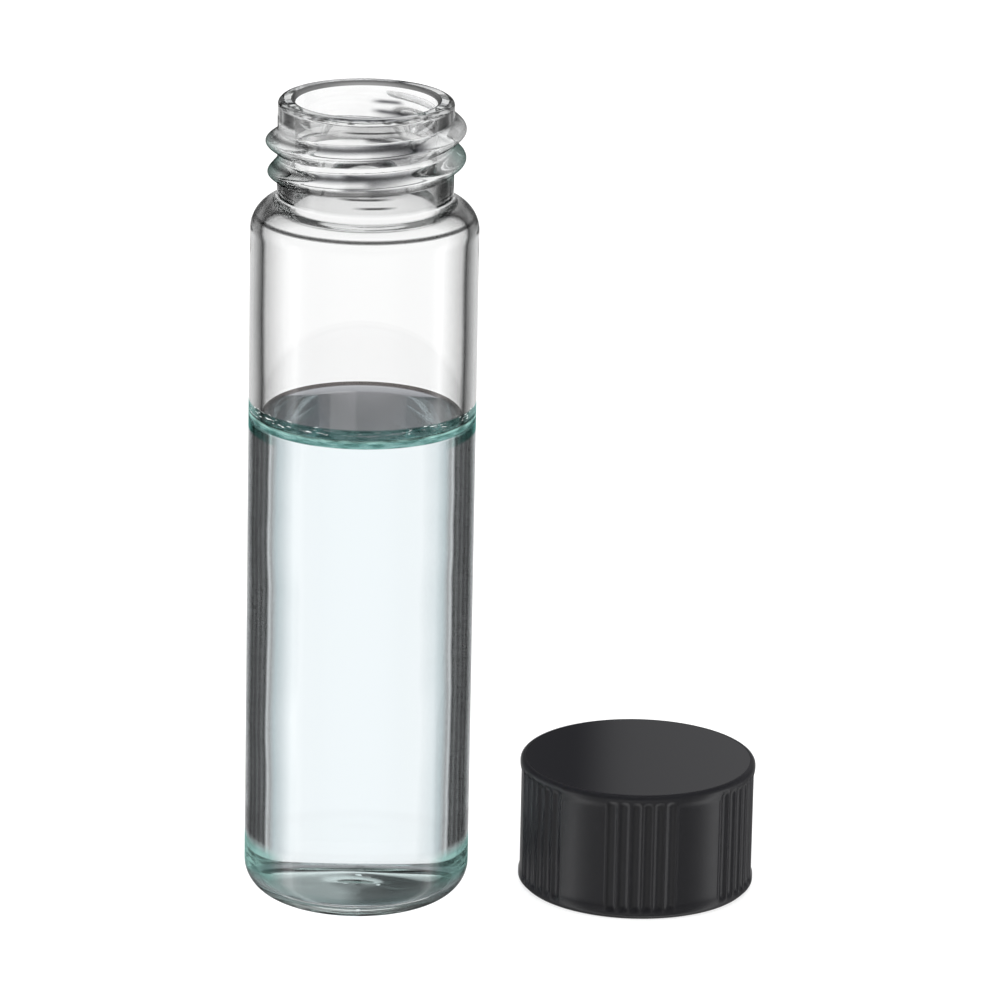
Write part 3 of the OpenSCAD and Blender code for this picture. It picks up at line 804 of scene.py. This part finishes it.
def cap_shape(angle, r, z):
    """The grip: within a group, round grooves at an even angle, and between groups a panel that
    lies a little lower. Both end short of the bands at the cap's top and foot. In the bore, a
    right-handed helix of flat-topped section, two turns of it."""
    apart = 360 / GROUPS
    in_group = (np.degrees(angle) + 90 - RIB_TURN + apart / 2) % apart - apart / 2
    nearest = np.clip(np.round(in_group / GROOVE_STEP - 0.5), -GROOVES / 2, GROOVES / 2 - 1) + 0.5
    off = np.abs(in_group - nearest * GROOVE_STEP) / GROOVE_HALF
    groove = GROOVE_DEPTH * np.sqrt(np.clip(1 - off ** 2, 0, 1)) ** 1.5
    groove = groove * smooth(FOOT_BAND - GROOVE_RUN, FOOT_BAND + GROOVE_FULL, z) \
        * (1 - smooth(CAP_H - TOP_BAND - GROOVE_FULL, CAP_H - TOP_BAND + GROOVE_RUN, z))
    from_panel = apart / 2 - np.abs(in_group)
    panel = PANEL_DEPTH * (1 - smooth(PANEL_HALF - PANEL_EASE, PANEL_HALF + PANEL_EASE, from_panel))
    panel = panel * smooth(FOOT_BAND, FOOT_BAND + SLOPE_H, z) \
        * (1 - smooth(CAP_H - TOP_BAND - SLOPE_H, CAP_H - TOP_BAND, z))
    on_skirt = np.zeros_like(r)
    on_skirt[len(cap_inside):] = r[len(cap_inside):] > CAP_R - TINY
    ridge = np.zeros_like(r)
    for lap in range(CAP_THREAD_TURNS + 1):
        down = np.degrees(-angle) % 360 + 360 * lap
        middle = CAP_THREAD_TOP - PITCH * down / 360
        flat = np.clip((CAP_THREAD_W / 2 - np.abs(z - middle)) / (CAP_THREAD_W - CAP_CREST_W) * 2,
                       0, 1)
        ridge = np.maximum(ridge, flat * ends(down, CAP_RUN)
                           * ends(360 * CAP_THREAD_TURNS - down, CAP_RUN))
    on_bore = np.zeros_like(r)
    on_bore[:len(cap_inside)] = np.abs(r[:len(cap_inside)] - CAP_BORE) < TINY
    return r - np.maximum(groove, panel) * on_skirt - CAP_THREAD_H * ridge * on_bore, z


cap_profile = np.concatenate([cap_inside, cap_outside])
cap = turned("cap_shell", cap_profile, CAP_COLUMNS, ceiling, CAP_H, cap_shape)
cap.data.transform(Matrix.Translation((CAP_X * MM, CAP_Y * MM, 0.0)))
mark_rows(cap, "end_face", CAP_COLUMNS, len(cap_profile) - END_ROWS, len(cap_profile))

# Phenolic, moulded: a hard, slightly cloudy half gloss on the grip, from a matt steel mould, and a
# polished flat top.
phenolic = bpy.data.materials.new("black moulded phenolic")
tree = new_tree(phenolic)
place = add_node(tree, "ShaderNodeTexCoord").outputs["Object"]
on_top = add_node(tree, "ShaderNodeAttribute", attribute_name="end_face").outputs["Fac"]
cloud = add_node(tree, "ShaderNodeTexNoise", {"Vector": place, "Scale": 1 / (CLOUD_W * MM),
                                              "Detail": 4.0}).outputs["Fac"]
half_gloss = add_node(tree, "ShaderNodeMapRange", {"Value": cloud, "To Min": 0.29,
                                                   "To Max": 0.39}).outputs[0]
rough = add_node(tree, "ShaderNodeMix", {"Factor": on_top, 2: half_gloss, 3: 0.04}).outputs[0]
depth = add_node(tree, "ShaderNodeMix", {"Factor": on_top, 2: 0.08, 3: 0.0}).outputs[0]
grain = add_node(tree, "ShaderNodeTexNoise", {"Vector": place, "Scale": 1 / (GRAIN_W * MM),
                                              "Detail": 2.0}).outputs["Fac"]
bump = add_node(tree, "ShaderNodeBump", {"Height": grain, "Strength": depth,
                                         "Distance": 0.05 * MM}).outputs[0]
shader = add_node(tree, "ShaderNodeBsdfPrincipled",
                  {"Base Color": linear(PHENOLIC_BLACK), "Roughness": rough, "Normal": bump,
                   "IOR": 1.5})
add_node(tree, "ShaderNodeOutputMaterial", {"Surface": shader.outputs[0]})
cap.data.materials.append(phenolic)
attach(cap, "root")
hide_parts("cap")


# ------------------------------------------------------------------ the liner
# A disc of white polythene foam with a smooth skin, pressed up under the cap's top.

# The foam's cells, in millimetres.
CELL_W = 0.25

# Polythene foam, cast with a skin: milky white, with the cells showing through as shallow dents.
foam = bpy.data.materials.new("white polythene foam")
tree = new_tree(foam)
place = add_node(tree, "ShaderNodeTexCoord").outputs["Object"]
cells = add_node(tree, "ShaderNodeTexVoronoi", {"Vector": place,
                                                "Scale": 1 / (CELL_W * MM)}).outputs["Distance"]
milky = add_node(tree, "ShaderNodeValToRGB", {0: cells})
set_ramp(milky, [(0.0, linear("#F4F3EF")), (0.7, linear("#E9E7E0"))])
dents = add_node(tree, "ShaderNodeBump", {"Height": cells, "Strength": 0.25,
                                          "Distance": 0.1 * MM})
shader = add_node(tree, "ShaderNodeBsdfPrincipled",
                  {"Base Color": milky.outputs[0], "Roughness": 0.55, "Normal": dents.outputs[0],
                   "IOR": 1.5})
add_node(tree, "ShaderNodeOutputMaterial", {"Surface": shader.outputs[0]})
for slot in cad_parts["cap_liner"].material_slots:
    slot.material = foam
